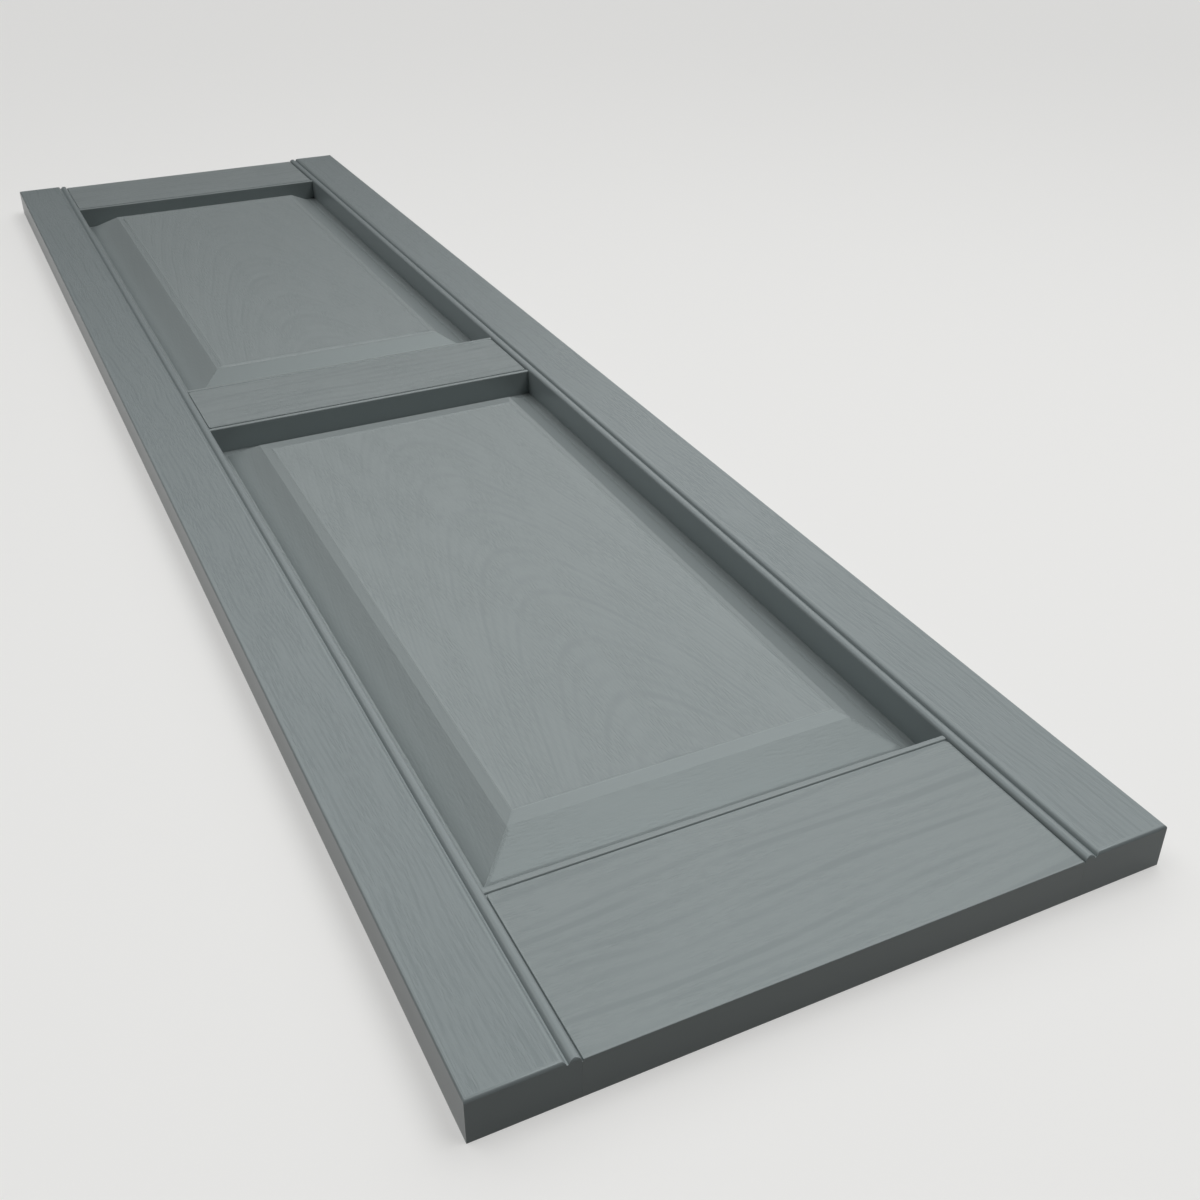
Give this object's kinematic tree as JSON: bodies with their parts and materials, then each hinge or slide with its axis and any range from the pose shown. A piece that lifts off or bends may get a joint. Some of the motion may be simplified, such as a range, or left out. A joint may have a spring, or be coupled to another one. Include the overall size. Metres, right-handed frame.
{
  "type": "raised panel shutter leaf",
  "caption": "Raised panel window shutter leaf: moulded stiles with a beaded edge, flat rails and mitred raised panels, open at the back.",
  "frame": {"origin": "middle of the back plane, halfway along the leaf and halfway across it", "axes": "+Z out of the decorated face, +Y towards the top rail, +X across the leaf to the right stile"},
  "size_m": [0.3682, 1.397, 0.0254],
  "materials": {
    "stile_vinyl": "satin, embossed wood grain along the stile",
    "rail_vinyl": "satin, embossed wood grain across the leaf",
    "panel_vinyl": "satin, embossed cathedral wood grain along the panel"
  },
  "bodies": {
    "root": {"left_stile": "stile_vinyl", "right_stile": "stile_vinyl", "bottom_rail": "rail_vinyl", "middle_rail": "rail_vinyl", "top_rail": "rail_vinyl", "lower_panel": "panel_vinyl", "upper_panel": "panel_vinyl"}
  },
  "joints": []
}
